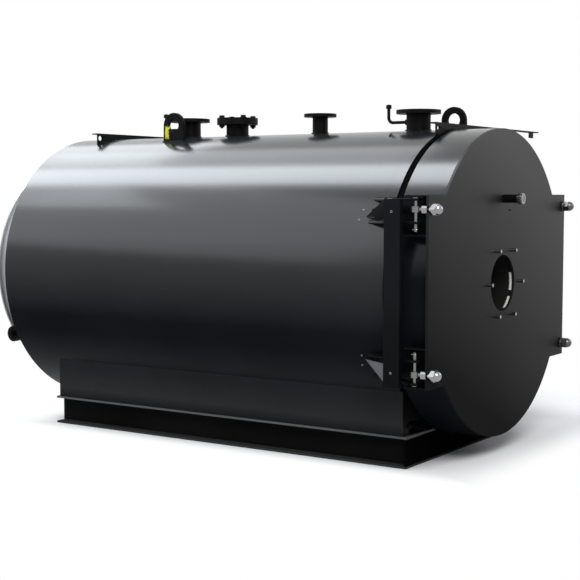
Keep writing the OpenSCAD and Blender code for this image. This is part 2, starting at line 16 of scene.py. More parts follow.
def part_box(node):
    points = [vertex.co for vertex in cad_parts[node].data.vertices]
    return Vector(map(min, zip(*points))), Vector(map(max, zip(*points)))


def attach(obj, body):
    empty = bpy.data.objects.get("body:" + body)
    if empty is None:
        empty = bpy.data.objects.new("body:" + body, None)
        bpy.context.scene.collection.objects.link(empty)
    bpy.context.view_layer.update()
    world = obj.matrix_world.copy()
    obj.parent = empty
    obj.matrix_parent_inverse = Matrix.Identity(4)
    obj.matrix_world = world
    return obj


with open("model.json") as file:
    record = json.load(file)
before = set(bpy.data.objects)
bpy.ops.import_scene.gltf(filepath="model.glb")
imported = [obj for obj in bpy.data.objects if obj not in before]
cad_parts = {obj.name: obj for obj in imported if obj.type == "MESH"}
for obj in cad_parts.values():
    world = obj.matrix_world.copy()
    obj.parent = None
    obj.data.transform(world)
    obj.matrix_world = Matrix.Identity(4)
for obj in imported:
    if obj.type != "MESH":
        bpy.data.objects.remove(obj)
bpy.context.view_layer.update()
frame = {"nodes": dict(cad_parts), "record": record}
nodes = frame["nodes"]

# %% [markdown]
# The casing is a cylinder that lies along Y, so its box gives the axis that most other pieces are
# placed by. Measuring it, instead of writing the numbers down again, keeps the scene right if the model
# is resized.

# %% Measure the boiler
casing_low, casing_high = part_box("casing")
casing_r = (casing_high.x - casing_low.x) / 2
axis_z = (casing_high.z + casing_low.z) / 2
casing_front = casing_low.y
door_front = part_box("door_plate")[0].y
print("casing radius", round(casing_r, 4), "axis height", round(axis_z, 4))
print("door front", round(door_front, 4))

# %% [markdown]
# ## The camera
#
# The picture was taken from the front left at about the height of a person's chest, with a longish
# lens. A camera needs a place, a direction and a focal length. The direction is made here from two
# angles, as on a tripod: how far it is turned from the boiler's length, and how far it tips down.

# %% Camera
CAMERA_PLACE = Vector((-5.361, -3.628, 1.1985))
CAMERA_YAW = math.radians(56.44)
CAMERA_TIP = math.radians(4.375)
CAMERA_LENS = 79.06

camera_data = bpy.data.cameras.new("photo_camera")
camera_data.sensor_width = 36
camera_data.lens = CAMERA_LENS
camera = bpy.data.objects.new("photo_camera", camera_data)
bpy.context.scene.collection.objects.link(camera)
look = Vector((math.sin(CAMERA_YAW) * math.cos(CAMERA_TIP),
               math.cos(CAMERA_YAW) * math.cos(CAMERA_TIP),
               -math.sin(CAMERA_TIP)))
camera.location = CAMERA_PLACE
camera.rotation_euler = look.to_track_quat("-Z", "Y").to_euler()
bpy.context.scene.camera = camera
print("camera at", [round(x, 3) for x in camera.location], "looking along", [round(x, 3) for x in look])

# %% [markdown]
# ## Light and floor
#
# Dark gloss paint shows its surroundings more than its own colour, so the lamps are chosen for what the
# round flank mirrors. A long narrow strip above draws the bright line along it, and three soft panels
# grade the crown, the shoulder and the rear end. A large panel further out lights the flank, the key
# lamp above the camera lights what faces it, and a small lamp brings out the door. All of them are area
# lamps, because a point lamp would show as a hard dot in the paint.

# %% Lamps
def area_lamp(name, place, target, width, height, watts, colour):
    lamp_data = bpy.data.lights.new(name, "AREA")
    lamp_data.shape = "RECTANGLE"
    lamp_data.size = width
    lamp_data.size_y = height
    lamp_data.energy = watts
    lamp_data.color = colour
    lamp = bpy.data.objects.new(name, lamp_data)
    bpy.context.scene.collection.objects.link(lamp)
    lamp.location = place
    lamp.rotation_euler = (Vector(target) - Vector(place)).to_track_quat("-Z", "Y").to_euler()
    lamp.visible_camera = False


COOL = (0.89, 0.945, 1.0)
PLAIN = (1, 1, 1)
LAMPS = [
    ("flank_strip", (-0.50, 1.45, 3.0), (-0.50, 1.45, 1.3), 0.72, 4.4, 95, COOL),
    ("crown_panel", (0.90, 3.4, 3.05), (0.90, 3.4, 1.0), 1.9, 3.0, 52, COOL),
    ("shoulder_panel", (0.35, 1.5, 3.02), (0.35, 1.5, 1.0), 0.9, 3.2, 20, COOL),
    ("rear_panel", (-1.35, 3.0, 3.02), (-1.35, 3.0, 1.0), 1.0, 1.8, 17, COOL),
    ("flank_panel", (-3.5, 3.0, 3.9), (-0.65, 0.0, 1.1), 4.4, 4.4, 85, COOL),
    ("key_lamp", (-4.5, -4.5, 5.5), (0, 0, 0.6), 3.5, 3.5, 420, PLAIN),
    ("door_lamp", (4.2, -4.6, 3.0), (0.2, -1.2, 0.8), 2.2, 2.2, 60, PLAIN),
]
for lamp in LAMPS:
    area_lamp(*lamp)
print(len(LAMPS), "lamps")

# %% [markdown]
# The world is white to the camera and in reflections, but gives only a dim light of its own, as in a
# studio with white walls. A light path node tells the two apart. The floor needs the same switch, so it
# is a function.

# %% World
WORLD_LIGHT = 0.38


def wire(tree, start, end):
    tree.links.new(start, end)


def calculate(tree, operation, *values):
    """A maths node on values that are sockets or plain numbers."""
    node = tree.nodes.new("ShaderNodeMath")
    node.operation = operation
    for socket, value in zip(node.inputs, values):
        if isinstance(value, float):
            socket.default_value = value
        else:
            wire(tree, value, socket)
    return node.outputs[0]


def seen_directly(tree):
    """A factor that is 1 for what the camera, mirrors and glass see, and 0 for plain light."""
    path = tree.nodes.new("ShaderNodeLightPath")
    mirrored = calculate(tree, "MAXIMUM", path.outputs["Is Camera Ray"], path.outputs["Is Glossy Ray"])
    return calculate(tree, "MAXIMUM", mirrored, path.outputs["Is Transmission Ray"])


world = bpy.data.worlds.new("studio")
bpy.context.scene.world = world
world.use_nodes = True
tree = world.node_tree
tree.nodes.clear()
dim = tree.nodes.new("ShaderNodeBackground")
dim.inputs["Color"].default_value = (0.95, 0.97, 1.0, 1)
dim.inputs["Strength"].default_value = WORLD_LIGHT
white = tree.nodes.new("ShaderNodeBackground")
white.inputs["Color"].default_value = (1, 1, 1, 1)
white.inputs["Strength"].default_value = 1
mix = tree.nodes.new("ShaderNodeMixShader")
out = tree.nodes.new("ShaderNodeOutputWorld")
wire(tree, seen_directly(tree), mix.inputs[0])
wire(tree, dim.outputs[0], mix.inputs[1])
wire(tree, white.outputs[0], mix.inputs[2])
wire(tree, mix.outputs[0], out.inputs["Surface"])
bpy.context.scene.view_settings.view_transform = "Standard"
print("world light", WORLD_LIGHT)

# %% [markdown]
# The floor is pale and matt under the boiler, where it takes the shadow, and fades into the white of
# the world further out, so that no horizon shows. It fades sooner in front, on the left and behind,
# where its white glow is painted light over the boiler's shadow. Each fade is a factor of its own, and
# the largest of them counts.

# %% Floor
FLOOR_SIZE, FLOOR_DROP = 80.0, 0.0005
ROUND_FADE = 1.5, 2.2
FRONT_FADE = -1.20, -1.48
LEFT_FADE = -0.52, -0.68
REAR_FADE = 1.00, 1.30


def fade(tree, value, limits):
    """A factor that rises smoothly from 0 to 1 as a value goes from one limit to the other."""
    node = tree.nodes.new("ShaderNodeMapRange")
    node.interpolation_type = "SMOOTHSTEP"
    node.inputs["From Min"].default_value, node.inputs["From Max"].default_value = limits
    wire(tree, value, node.inputs["Value"])
    return node.outputs["Result"]


bpy.ops.mesh.primitive_plane_add(size=FLOOR_SIZE, location=(0, 0, -FLOOR_DROP))
floor = bpy.context.object
floor.name = "floor"
floor_paint = bpy.data.materials.new("pale_floor")
floor_paint.use_nodes = True
tree = floor_paint.node_tree
tree.nodes.clear()
matt = tree.nodes.new("ShaderNodeBsdfDiffuse")
matt.inputs["Color"].default_value = (0.84, 0.84, 0.85, 1)
glow = tree.nodes.new("ShaderNodeEmission")
glow.inputs["Strength"].default_value = 1
place = tree.nodes.new("ShaderNodeTexCoord")
distance = tree.nodes.new("ShaderNodeVectorMath")
distance.operation = "LENGTH"
sides = tree.nodes.new("ShaderNodeSeparateXYZ")
wire(tree, place.outputs["Object"], distance.inputs[0])
wire(tree, place.outputs["Object"], sides.inputs["Vector"])
whiteness = fade(tree, distance.outputs["Value"], ROUND_FADE)
for side, limits in [("Y", FRONT_FADE), ("X", LEFT_FADE), ("Y", REAR_FADE)]:
    whiteness = calculate(tree, "MAXIMUM", whiteness, fade(tree, sides.outputs[side], limits))
mix = tree.nodes.new("ShaderNodeMixShader")
out = tree.nodes.new("ShaderNodeOutputMaterial")
wire(tree, calculate(tree, "MULTIPLY", whiteness, seen_directly(tree)), mix.inputs[0])
wire(tree, matt.outputs[0], mix.inputs[1])
wire(tree, glow.outputs[0], mix.inputs[2])
wire(tree, mix.outputs[0], out.inputs["Surface"])
floor.data.materials.append(floor_paint)
print("floor fades from", ROUND_FADE[0], "to", ROUND_FADE[1], "m")

# %% [markdown]
# ## Paint
#
# Sprayed steel is never one flat colour. Its tone drifts a little over a large panel, its gloss is
# broken by dust and handling, and seen close it has the fine ripple that sprayers call orange peel. All
# three are noise textures of different size, so one function makes every paint on the boiler from a few
# numbers.

# %% Paint function
PEEL_SCALE, PEEL_DEPTH = 420.0, 0.00004


def noise(tree, coordinates, scale, detail=3.0, roughness=0.5):
    texture = tree.nodes.new("ShaderNodeTexNoise")
    texture.inputs["Scale"].default_value = scale
    texture.inputs["Detail"].default_value = detail
    texture.inputs["Roughness"].default_value = roughness
    wire(tree, coordinates, texture.inputs["Vector"])
    return texture.outputs["Fac"]


def spread(tree, value, low, high, start=0.3, end=0.7):
    """Stretches a noise value, which mostly lies from start to end, over the range from low to high."""
    node = tree.nodes.new("ShaderNodeMapRange")
    node.inputs["From Min"].default_value = start
    node.inputs["From Max"].default_value = end
    node.inputs["To Min"].default_value = low
    node.inputs["To Max"].default_value = high
    wire(tree, value, node.inputs["Value"])
    return node.outputs["Result"]


def blend_colours(tree, factor, first, second):
    node = tree.nodes.new("ShaderNodeMix")
    node.data_type = "RGBA"
    node.inputs["A"].default_value = (*first, 1)
    node.inputs["B"].default_value = (*second, 1)
    wire(tree, factor, node.inputs["Factor"])
    return node.outputs["Result"]


def cover(tree, factor, under, colour):
    """Covers a linked colour with a plain one, as far as a factor says."""
    covered = blend_colours(tree, factor, (0, 0, 0), colour)
    wire(tree, under, covered.node.inputs["A"])
    return covered


def new_finish(name):
    material = bpy.data.materials.new(name)
    material.use_nodes = True
    tree = material.node_tree
    shader = tree.nodes["Principled BSDF"]
    coordinates = tree.nodes.new("ShaderNodeTexCoord").outputs["Object"]
    return material, tree, shader, coordinates


def ripple(tree, shader, coordinates, scale, depth, detail=2.0):
    bump = tree.nodes.new("ShaderNodeBump")
    bump.inputs["Strength"].default_value = 1
    bump.inputs["Distance"].default_value = depth
    wire(tree, noise(tree, coordinates, scale, detail), bump.inputs["Height"])
    wire(tree, bump.outputs["Normal"], shader.inputs["Normal"])


def paint(name, dark, light, rough_low, rough_high, gloss=0.0, coat=0.0, peel=PEEL_DEPTH):
    material, tree, shader, coordinates = new_finish(name)
    drift = spread(tree, noise(tree, coordinates, 2.2), 0, 1)
    wire(tree, blend_colours(tree, drift, dark, light), shader.inputs["Base Color"])
    handling = noise(tree, coordinates, 9.0, 5.0, 0.6)
    wire(tree, spread(tree, handling, rough_low, rough_high), shader.inputs["Roughness"])
    shader.inputs["Specular IOR Level"].default_value = gloss
    shader.inputs["Coat Weight"].default_value = coat
    shader.inputs["Coat Roughness"].default_value = 0.09
    ripple(tree, shader, coordinates, PEEL_SCALE, peel)
    return material


# %% [markdown]
# The paint's gloss is painted shade and sheen, set by place: it is dull low down, where the flank would
# mirror the floor, and polished above. A clear coat whose weight changes along a direction gives that.
# The dot product of a point with the direction says how far along it lies, and a colour ramp with a few
# stops gives the weight there. A lighter grey on the base's flanges and a painted shade low on the panel
# post are laid over the colour in the same way.

# %% Coat and dust functions
UPWARD = (0, 0, 1)


def stops_along(tree, direction, stops):
    """Gives a value that follows stops of (place along the direction, value)."""
    along = tree.nodes.new("ShaderNodeVectorMath")
    along.operation = "DOT_PRODUCT"
    along.inputs[1].default_value = direction
    wire(tree, tree.nodes["Texture Coordinate"].outputs["Object"], along.inputs[0])
    first, last = stops[0][0], stops[-1][0]
    share = spread(tree, along.outputs["Value"], 0, 1, first, last)
    ramp = tree.nodes.new("ShaderNodeValToRGB")
    wire(tree, share, ramp.inputs["Fac"])
    elements = ramp.color_ramp.elements
    while len(elements) < len(stops):
        elements.new(0.5)
    for i, (place, value) in enumerate(stops):
        elements[i].position = (place - first) / (last - first)
        elements[i].color = (value, value, value, 1)
    return ramp.outputs["Color"]


def polish(material, direction, stops, roughness):
    """Gives a paint a clear coat whose weight follows stops along a direction."""
    tree = material.node_tree
    shader = tree.nodes["Principled BSDF"]
    wire(tree, stops_along(tree, direction, stops), shader.inputs["Coat Weight"])
    shader.inputs["Coat Roughness"].default_value = roughness


def lay_over(material, stops, colour):
    """Lays a lighter grey or a painted shade over a paint, in shares that follow stops of (height, share).
    """
    tree = material.node_tree
    shader = tree.nodes["Principled BSDF"]
    painted = shader.inputs["Base Color"].links[0].from_socket
    laid = cover(tree, stops_along(tree, UPWARD, stops), painted, colour)
    wire(tree, laid, shader.inputs["Base Color"])


# %% [markdown]
# The casing, the door's drum and the skirts are sprayed in one blue black, and differ only in their
# shine, which is painted sheen and shade: its stops follow where the light falls. The door plate is a
# little duller and lighter. A paint is written as its darkest and lightest colour, its range of roughness
# and its gloss.

# %% Casing and door paints
GLOSSY, SATIN = 0.2, 0.4
CASING_COLOURS = (0.0042, 0.0048, 0.0060), (0.0062, 0.0070, 0.0086), 0.34, 0.46

casing_paint = paint("casing_paint", *CASING_COLOURS)
# Painted shade: the coat is thin low on the casing, where it would mirror the floor, and full on top.
casing_shine = [(0.14, 0.40), (0.50, 0.02), (axis_z - 0.20, 0.02), (axis_z + 0.20, 1.0)]
polish(casing_paint, UPWARD, casing_shine, GLOSSY)
drum_paint = paint("drum_paint", *CASING_COLOURS)
# Painted shade and sheen: the drum's coat is thin low down and between the upper hinge ribs, where shade
# falls, and thicker in a band below them.
drum_shine = [(0.14, 0.02), (0.84, 0.02), (0.93, 0.40), (0.98, 0.40), (1.04, 0.02)]
drum_shine += [(1.178, 0.02), (1.192, 1.0)]
polish(drum_paint, UPWARD, drum_shine, GLOSSY)
skirt_paint = paint("skirt_paint", *CASING_COLOURS)
# Painted sheen: the skirts' coat rises and falls in bands with the light.
skirt_shine = [(0.14, 0.10), (0.16, 0.22), (0.19, 0.42), (0.24, 0.34), (0.30, 0.22)]
polish(skirt_paint, UPWARD, skirt_shine, GLOSSY)
door_paint = paint("door_paint", (0.0065, 0.0065, 0.0066), (0.0085, 0.0085, 0.0086), 0.46, 0.58)
# Painted sheen: the door's coat grows towards the upper right, where the plate looks lighter.
polish(door_paint, (0.35, 0, 0.7), [(0.1, 0.05), (1.0, 0.62)], SATIN)
print("casing, drum, skirt and door paints made")

# %% [markdown]
# The ironwork is plain black. The flanges of the base's channels are a lighter grey, told by their
# height, and the post has a painted shade low down. The hidden smoke box has a silver paint that stands
# heat.

# %% Ironwork paints
BLACK_COLOURS = (0.0018, 0.0018, 0.0021), (0.0036, 0.0036, 0.004), 0.38, 0.55, 0.04
LUG_ROOT = casing_front + 0.28
# A painted shade for the foot of the panel post, and the heights where it lies.
POST_SHADE_COLOUR, POST_SHADE_STOPS = (0.0012, 0.0012, 0.0015), [(0.50, 0.7), (0.64, 0.55), (0.76, 0.0)]
FLANGE_GREY = (0.085, 0.085, 0.085)
FLANGE_GREY_STOPS = [(0.0, 0.38), (0.0098, 0.38), (0.0105, 0.0), (0.1290, 0.0), (0.1305, 1.0), (0.14, 1.0)]

black_paint = paint("black_paint", *BLACK_COLOURS, coat=0.02)
lug_paint = paint("lug_paint", *BLACK_COLOURS)
# Painted shade and highlight: the hinge lugs keep almost no coat near the pins and a high one on their
# tails at the casing.
polish(lug_paint, (0, 1, 0.26), [(LUG_ROOT, 0.02), (LUG_ROOT + 0.02, 0.8)], GLOSSY)
post_paint = paint("post_paint", (0.0045, 0.005, 0.006), (0.007, 0.0075, 0.0085), 0.42, 0.55, 0.05)
# Painted shade: the panel post is darker towards its foot.
lay_over(post_paint, POST_SHADE_STOPS, POST_SHADE_COLOUR)
# Painted light: the rails' black is lighter than the cross member's, to lift their webs, which lie in the
# flanges' shade.
rail_paint = paint("rail_paint", (0.0050, 0.0050, 0.0052), (0.0080, 0.0080, 0.0083), 0.5, 0.7)
cross_paint = paint("cross_paint", (0.0012, 0.0012, 0.0013), (0.0028, 0.0028, 0.0030), 0.5, 0.7)
# The flanges of the base's channels are a lighter grey, chosen by their height.
for greyed in (rail_paint, cross_paint):
    lay_over(greyed, FLANGE_GREY_STOPS, FLANGE_GREY)
edge_rubber = paint("edge_rubber", (0.0012, 0.0012, 0.0012), (0.0026, 0.0026, 0.0026), 0.6, 0.8)
# Painted light: a lighter grey for the lower arm web, the lit copy of the black ironwork paint.
lit_web_grey = paint("lit_web_grey", (0.080, 0.080, 0.082), (0.110, 0.110, 0.113), 0.5, 0.65, 0.2)
rear_paint = paint("rear_paint", (0.27, 0.275, 0.28), (0.36, 0.365, 0.37), 0.42, 0.6, 0.5, peel=0.0001)
rear_paint.node_tree.nodes["Principled BSDF"].inputs["Metallic"].default_value = 0.5
print("ironwork, rubber and rear paints made")

# %% [markdown]
# Plated nuts and pins are metal, so their colour is the colour of the reflection. Some are still bright
# and others have dulled, so one function makes them all from a colour and a range of roughness.

# %% Plated metals
def plated(name, colour, rough_low, rough_high):
    material, tree, shader, coordinates = new_finish(name)
    shader.inputs["Base Color"].default_value = (*colour, 1)
    shader.inputs["Metallic"].default_value = 1
    handling = noise(tree, coordinates, 60.0, 4.0)
    wire(tree, spread(tree, handling, rough_low, rough_high), shader.inputs["Roughness"])
    ripple(tree, shader, coordinates, 900.0, 0.00003)
    return material


bright_steel = plated("bright_steel", (0.30, 0.30, 0.31), 0.07, 0.18)
bolt_steel = plated("bolt_steel", (0.20, 0.20, 0.195), 0.2, 0.34)
dull_steel = plated("dull_steel", (0.11, 0.11, 0.108), 0.24, 0.4)
print("plated metals made")

# %% [markdown]
# Bare boiler plate has a dark, blotchy scale from the rolling mill. Cast refractory is chalky with
# grains of crushed brick in it, and black with soot near the flame. The soot could be painted on by
# hand, but a factor that falls with the distance from the boiler's axis follows the round throat by
# itself.

# %% Boiler plate and refractory
boiler_steel, tree, shader, coordinates = new_finish("boiler_steel")
scale_patches = spread(tree, noise(tree, coordinates, 14.0, 6.0, 0.6), 0, 1, 0.35, 0.65)
mill_scale = blend_colours(tree, scale_patches, (0.018, 0.017, 0.018), (0.075, 0.055, 0.045))
wire(tree, mill_scale, shader.inputs["Base Color"])
wire(tree, spread(tree, noise(tree, coordinates, 40.0, 4.0), 0.5, 0.8), shader.inputs["Roughness"])
shader.inputs["Metallic"].default_value = 0.35
ripple(tree, shader, coordinates, 160.0, 0.0003, 5.0)

SOOT_RADIUS, SOOT_WIDTH = 0.155, 0.22
refractory, tree, shader, coordinates = new_finish("refractory")
centre = tree.nodes.new("ShaderNodeMapping")
centre.inputs["Location"].default_value = (0, 0, -axis_z)
centre.inputs["Scale"].default_value = (1, 0, 1)
wire(tree, coordinates, centre.inputs["Vector"])
radius = tree.nodes.new("ShaderNodeVectorMath")
radius.operation = "LENGTH"
wire(tree, centre.outputs["Vector"], radius.inputs[0])
soot = spread(tree, radius.outputs["Value"], 1, 0, SOOT_RADIUS, SOOT_RADIUS + SOOT_WIDTH)
grain = spread(tree, noise(tree, coordinates, 120.0, 6.0, 0.7), 0, 1)
chalk = blend_colours(tree, grain, (0.42, 0.36, 0.27), (0.60, 0.53, 0.43))
wire(tree, cover(tree, soot, chalk, (0.006, 0.006, 0.006)), shader.inputs["Base Color"])
shader.inputs["Roughness"].default_value = 0.92
shader.inputs["Specular IOR Level"].default_value = 0.15
ripple(tree, shader, coordinates, 220.0, 0.0012, 8.0)
print("boiler plate and refractory made")

# %% [markdown]
# Each CAD node already has a material slot in the part's record. The record's slot names are used to
# hand out the finishes, so no node is forgotten.

# %% Dress the CAD nodes
finishes = {
    "casing_paint": casing_paint, "door_paint": door_paint, "post_paint": post_paint,
    "black_paint": black_paint, "rear_paint": rear_paint, "bright_steel": bright_steel,
    "boiler_steel": boiler_steel, "refractory": refractory,
}
for part in frame["record"]["subparts"]:
    node = nodes[part["node"]]
    node.data.materials.clear()
    node.data.materials.append(finishes[part["material_slot"]])

# %% [markdown]
# The rear lifting lug has a dab of yellow on its face, the mark of a lifting test. It could be a decal,
# but a soft box in the object's own coordinates needs no picture, and noise added to it makes its edge
# look brushed.

# %% Yellow dab
DAB_Y, DAB_Z = 0.558, 1.506
DAB_HALF_Y, DAB_HALF_Z = 0.013, 0.034
DAB_YELLOW = (0.48, 0.45, 0.04)
FAR = 9


def from_middle(tree, value, middle, half):
    """How far a coordinate is from the dab's middle, in half widths and up to FAR of them."""
    away = calculate(tree, "ABSOLUTE", calculate(tree, "SUBTRACT", value, middle))
    return spread(tree, away, 0, FAR, 0, FAR * half)


marked_paint = black_paint.copy()
marked_paint.name = "marked_paint"
tree = marked_paint.node_tree
shader = tree.nodes["Principled BSDF"]
coordinates = tree.nodes["Texture Coordinate"].outputs["Object"]
axes = tree.nodes.new("ShaderNodeSeparateXYZ")
wire(tree, coordinates, axes.inputs["Vector"])
along = from_middle(tree, axes.outputs["Y"], DAB_Y, DAB_HALF_Y)
upright = from_middle(tree, axes.outputs["Z"], DAB_Z, DAB_HALF_Z)
bristles = spread(tree, noise(tree, coordinates, 130.0, 4.0), -0.3, 0.3)
brushed = calculate(tree, "ADD", calculate(tree, "MAXIMUM", along, upright), bristles)
dab = spread(tree, brushed, 1, 0, 0.75, 0.98)
painted = shader.inputs["Base Color"].links[0].from_socket
wire(tree, cover(tree, dab, painted, DAB_YELLOW), shader.inputs["Base Color"])
print("yellow dab at", DAB_Y, DAB_Z)

# %% [markdown]
# Some nodes look different from the rest of their slot: the base with its lighter flanges, the skirts,
# drum and hinge lugs with a painted sheen of their own, the black arms and ribs, and pins and bolts that
# have dulled. A list by name gives them their finishes.

# %% Finishes of their own
OTHER_FINISHES = {
    "lifting_lug_rear": marked_paint, "panel_arm_lower": black_paint, "panel_arm_upper": black_paint,
    "door_drum": drum_paint, "door_ribs": black_paint,
    "hinge_lugs_left": lug_paint, "hinge_lugs_right": lug_paint,
    "hinge_bolts": bolt_steel, "hinge_pins_left": bolt_steel, "hinge_pins_right": bolt_steel,
    "swing_bolt_upper": dull_steel, "swing_bolt_lower": dull_steel,
    "swing_nut_upper": dull_steel, "swing_nut_lower": dull_steel,
    "skirt_left": skirt_paint, "skirt_right": skirt_paint,
    "base_rail_left": rail_paint, "base_rail_right": rail_paint, "base_cross_front": cross_paint,
}
for name, finish in OTHER_FINISHES.items():
    nodes[name].data.materials.clear()
    nodes[name].data.materials.append(finish)
print("gave", len(OTHER_FINISHES), "nodes a finish of their own")

# %% [markdown]
# Cut steel has its edges broken with a file before it is painted, and the thin line of light on such an
# edge is what makes a plate look solid. The CAD solids have sharp edges, so the plates get a small
# bevel as a modifier. Their triangles are loose, so a weld modifier joins them first.

# %% Broken edges
EDGE = 0.0016
PLATES = ["panel_post", "panel_arm_upper", "panel_arm_lower", "lifting_lug_front", "lifting_lug_rear",
          "top_bar_front", "top_bar_rear", "door_ribs"]
PLATES += [name for name in nodes if name.startswith(("base_", "saddle_", "hinge_lugs"))]

for name in PLATES:
    merge = nodes[name].modifiers.new("merge", "WELD")
    merge.merge_threshold = 0.00002
    edge = nodes[name].modifiers.new("edge", "BEVEL")
    edge.width = EDGE
    edge.segments = 2
    edge.limit_method = "ANGLE"
    edge.angle_limit = math.radians(40)
print("broke the edges of", len(PLATES), "plates")

# %% [markdown]
# ## Hand tools
#
# The small pieces are modelled as by hand: a primitive is added, some of its faces are selected by
# where they are, and an operator shapes them. The helpers do the selecting, and the last one turns a
# disc, which most of the small pieces start from.

# %% Hand tools
def pick_faces(piece, wanted):
    """Opens a piece in edit mode with the faces selected whose middle and normal pass a test."""
    bpy.context.view_layer.objects.active = piece
    bpy.ops.object.mode_set(mode="EDIT")
    bpy.ops.mesh.select_mode(type="FACE")
    bpy.ops.mesh.select_all(action="DESELECT")
    bpy.ops.object.mode_set(mode="OBJECT")
    for polygon in piece.data.polygons:
        polygon.select = wanted(polygon.center, polygon.normal)
    bpy.ops.object.mode_set(mode="EDIT")


def every_face(middle, normal):
    return True


def select(pieces):
    bpy.ops.object.select_all(action="DESELECT")
    for piece in pieces:
        piece.select_set(True)
    bpy.context.view_layer.objects.active = pieces[0]


def round_disc(radius, height, bevel, sides=32, base=0.0):
    """A turned disc that stands at a height of base, with its upper rim bevelled."""
    bpy.ops.mesh.primitive_cylinder_add(vertices=sides, radius=radius, depth=height,
                                        location=(0, 0, base + height / 2))
    disc = bpy.context.object
    bpy.ops.object.transform_apply(location=True, rotation=True, scale=True)
    pick_faces(disc, lambda middle, normal: normal.z > 0.9)
    bpy.ops.mesh.bevel(offset=bevel, segments=3, affect="EDGES")
    bpy.ops.object.mode_set(mode="OBJECT")
    return disc


# %% [markdown]
# A piece that repeats is modelled once, standing on its foot at the origin, and copied to its places. A
# matrix places each copy. It goes into the mesh itself, so that finished objects lie at the origin. At
# the end a piece gets its smooth shading, its name and finish, and the body that it rides on.

# %% Copying and finishing
def join(pieces):
    select(pieces)
    if len(pieces) > 1:
        bpy.ops.object.join()
    return bpy.context.view_layer.objects.active


def stand(point, direction, turn=0.0, size=1.0):
    """The matrix that puts a pattern's foot on a point, pointing along a direction."""
    aim = Vector(direction).to_track_quat("Z", "Y").to_matrix().to_4x4()
    return Matrix.Translation(point) @ aim @ Matrix.Rotation(turn, 4, "Z") @ Matrix.Scale(size, 4)


def copies(pattern, places):
    """A copy of the pattern at each place, joined to one piece."""
    made = []
    for place in places:
        copy = pattern.copy()
        copy.data = pattern.data.copy()
        copy.data.transform(place)
        bpy.context.scene.collection.objects.link(copy)
        made.append(copy)
    return join(made)


def put_away(pattern):
    bpy.data.objects.remove(pattern)


def finish_piece(piece, name, finish, body, crease=35):
    select([piece])
    bpy.ops.object.shade_smooth_by_angle(angle=math.radians(crease))
    piece.name = name
    piece.data.name = name
    piece.data.materials.clear()
    piece.data.materials.append(finish)
    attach(piece, body)
    print(name, "has", len(piece.data.polygons), "faces and rides on", body)
    return piece


# %% [markdown]
# A hexagon bolt is a six-sided block whose top corners are turned off to a circle, on a washer. The
# head's top face is bevelled for the turned corners, then inset a little for the raised face that a
# stamped head has.

# %% Bolt patterns
def hex_block(flats, height, base=0.0, corner=0.0015):
    corner_r = flats / 2 / math.cos(math.radians(30))
    bpy.ops.mesh.primitive_cylinder_add(vertices=6, radius=corner_r, depth=height,
                                        location=(0, 0, base + height / 2))
    block = bpy.context.object
    bpy.ops.object.transform_apply(location=True, rotation=True, scale=True)
    pick_faces(block, lambda middle, normal: normal.z > 0.9)
    bpy.ops.mesh.bevel(offset=corner, segments=2, affect="EDGES")
    bpy.ops.object.mode_set(mode="OBJECT")
    return block


def hex_bolt(flats, height, washer):
    """A bolt head on a washer, with its foot at the origin and pointing up."""
    block = hex_block(flats, height, washer)
    pick_faces(block, lambda middle, normal: normal.z > 0.99 and middle.z > washer + height * 0.9)
    bpy.ops.mesh.inset(thickness=flats * 0.12, depth=0)
    bpy.ops.mesh.inset(thickness=flats * 0.03, depth=-height * 0.06)
    bpy.ops.object.mode_set(mode="OBJECT")
    return join([block, round_disc(flats * 0.72, washer, washer * 0.3)])


def nut_on_stud(flats, height, tip):
    """A nut with a washer, and the bolt's end standing out of it."""
    end = round_disc(flats * 0.31, tip, tip * 0.25, 20, height)
    return join([hex_block(flats, height), end, round_disc(flats * 0.72, 0.002, 0.0006)])


m16_head = hex_bolt(0.024, 0.010, 0.003)
m16_nut = nut_on_stud(0.024, 0.013, 0.006)
m12_head = hex_bolt(0.018, 0.0075, 0.0025)
print("patterns:", m16_head.name, m16_nut.name, m12_head.name)

# %% [markdown]
# The third pipe end is shut by a blind cover. Its four bolts go through the cover and the flange, heads
# on top and nuts below, on the same circle as the holes, which are turned a little from the boiler's
# length.

# %% Blind cover bolts
FLANGE_T, SMALL_FLANGE_T = 0.018, 0.016
COVER_BOLT_CIRCLE = 0.170
COVER_TURN = math.radians(11)

cover_low, cover_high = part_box("blind_cover")
cover_middle = (cover_low + cover_high) / 2
flange_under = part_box("cover_nozzle")[1].z - FLANGE_T
cover_bolts = []
for i in range(4):
    angle = COVER_TURN + math.radians(45 + 90 * i)
    x = cover_middle.x + COVER_BOLT_CIRCLE / 2 * math.cos(angle)
    y = cover_middle.y + COVER_BOLT_CIRCLE / 2 * math.sin(angle)
    cover_bolts.append(((x, y, cover_high.z), (x, y, flange_under), angle))
heads = copies(m16_head, [stand(top, (0, 0, 1), angle) for top, under, angle in cover_bolts])
nuts = copies(m16_nut, [stand(under, (0, 0, -1), angle) for top, under, angle in cover_bolts])
finish_piece(join([heads, nuts]), "blind_cover_bolts", black_paint, "boiler")

# %% [markdown]
# The hidden rear is bolted too: the smoke box's flange to the tube plate, and its cover to the box. A
# flue gas seal needs its bolts close together, so both rings have many of them.

# %% Smoke box bolts
FLANGE_BOLT_R, FLANGE_BOLTS = 0.587, 20
COVER_BOLT_R, COVER_BOLTS = 0.548, 16
BOX_FLANGE_T = 0.010

lid_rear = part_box("smoke_box_cover")[1].y
flange_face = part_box("smoke_box")[0].y + BOX_FLANGE_T


def ring_of_places(radius, count, y, start=0.0):
    places = []
    for i in range(count):
        angle = start + 2 * math.pi * i / count
        point = (radius * math.cos(angle), y, axis_z + radius * math.sin(angle))
        places.append(stand(point, (0, 1, 0), angle))
    return places


